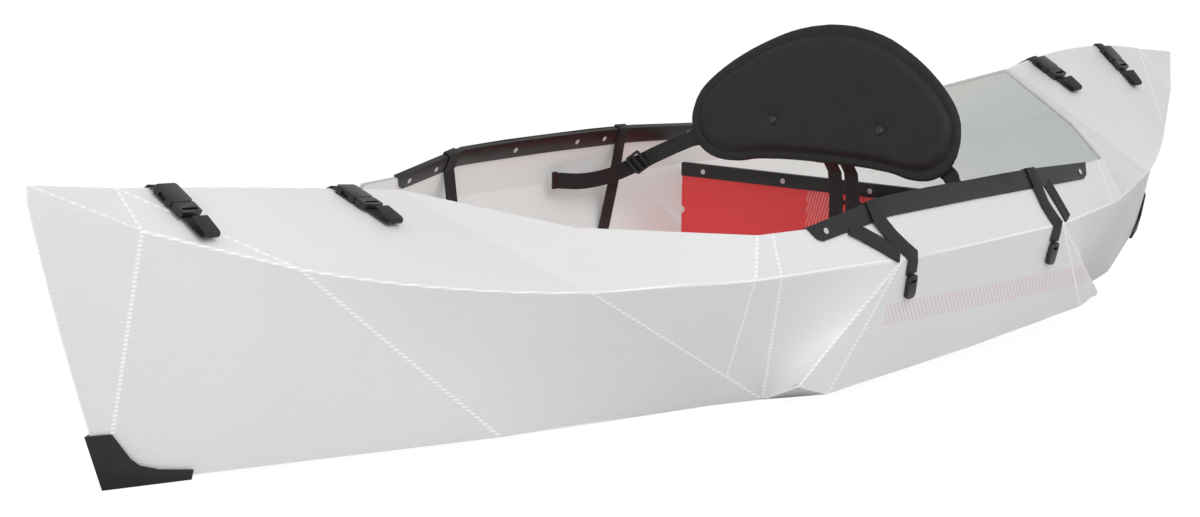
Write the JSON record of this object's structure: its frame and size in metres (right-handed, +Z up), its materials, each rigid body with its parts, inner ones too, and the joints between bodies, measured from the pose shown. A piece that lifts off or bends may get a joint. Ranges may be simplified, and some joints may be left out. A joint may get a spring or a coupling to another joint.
{
  "type": "folding kayak",
  "caption": "Folding sit-in kayak of creased corrugated plastic sheet, with gunwale rails, deck strap buckles, a cross bulkhead, a floorboard and a tilting padded backrest.",
  "frame": {"origin": "under the middle of the hull, on the ground that the bottom rests on", "axes": "+X aft from bow to stern, +Y to starboard, +Z up"},
  "size_m": [2.74, 0.8206, 0.4412],
  "materials": {
    "hull_sheet": "white corrugated polypropylene, satin",
    "black_moulding": "black moulded plastic",
    "rivet": "pale plastic rivet",
    "red_sheet": "red corrugated plastic",
    "pad_fabric": "black padded fabric",
    "stiff_panel": "black plastic sheet",
    "buckle": "black acetal",
    "webbing": "black nylon webbing"
  },
  "bodies": {
    "hull": {"backrest_lower_straps": "webbing", "backrest_strap_port": "webbing", "backrest_strap_starboard": "webbing", "bow_apex_buckle_socket": "buckle", "bow_bottom": "hull_sheet", "bow_deck_port": "hull_sheet", "bow_deck_starboard": "hull_sheet", "bow_guard": "black_moulding", "bow_gusset_port": "hull_sheet", "bow_gusset_starboard": "hull_sheet", "bow_side_port": "hull_sheet", "bow_side_starboard": "hull_sheet", "bow_tip_buckle_socket": "buckle", "bow_wrap_port": "webbing", "bow_wrap_starboard": "webbing", "bulkhead": "red_sheet", "bulkhead_rail": "black_moulding", "bulkhead_rivets": "rivet", "cockpit_wing_port": "hull_sheet", "cockpit_wing_starboard": "hull_sheet", "deck_strap_anchors": "webbing", "floorboard": "red_sheet", "gunwale_rail_port": "black_moulding", "gunwale_rail_starboard": "black_moulding", "lower_strap_keepers": "buckle", "middle_bottom": "hull_sheet", "middle_side_port": "hull_sheet", "middle_side_starboard": "hull_sheet", "rail_rivets_port": "rivet", "rail_rivets_starboard": "rivet", "seat_pad": "pad_fabric", "stern_apex_buckle_socket": "buckle", "stern_bottom": "hull_sheet", "stern_deck_port": "hull_sheet", "stern_deck_starboard": "hull_sheet", "stern_guard": "black_moulding", "stern_gusset_port": "hull_sheet", "stern_gusset_starboard": "hull_sheet", "stern_side_port": "hull_sheet", "stern_side_starboard": "hull_sheet", "stern_tip_buckle_socket": "buckle", "stern_wrap_port": "webbing", "stern_wrap_starboard": "webbing", "strap_slides": "buckle", "wrap_hooks": "buckle"},
    "bow_tip_latch": {"bow_tip_buckle_latch": "buckle", "bow_tip_strap_tail": "webbing"},
    "bow_apex_latch": {"bow_apex_buckle_latch": "buckle", "bow_apex_strap_tail": "webbing"},
    "stern_apex_latch": {"stern_apex_buckle_latch": "buckle", "stern_apex_strap_tail": "webbing"},
    "stern_tip_latch": {"stern_tip_buckle_latch": "buckle", "stern_tip_strap_tail": "webbing"},
    "backrest": {"backrest_pad": "pad_fabric", "backrest_panel": "stiff_panel", "backrest_buttons": "rivet"}
  },
  "joints": [
    {"name": "backrest_tilt", "type": "hinge", "parent": "hull", "child": "backrest", "pos_m": [0.22755, 0, 0.22217], "axis": [0, 1, 0], "range_deg": [-80, 0]},
    {"name": "bow_tip_latch_slide", "type": "slide", "parent": "hull", "child": "bow_tip_latch", "axis": [0, -0.8462, -0.5328], "range_m": [0, 0.026]},
    {"name": "bow_apex_latch_slide", "type": "slide", "parent": "hull", "child": "bow_apex_latch", "axis": [0, -0.9338, -0.3578], "range_m": [0, 0.026]},
    {"name": "stern_apex_latch_slide", "type": "slide", "parent": "hull", "child": "stern_apex_latch", "axis": [0, -0.8633, -0.5048], "range_m": [0, 0.026]},
    {"name": "stern_tip_latch_slide", "type": "slide", "parent": "hull", "child": "stern_tip_latch", "axis": [0, -0.7511, -0.6602], "range_m": [0, 0.026]}
  ]
}
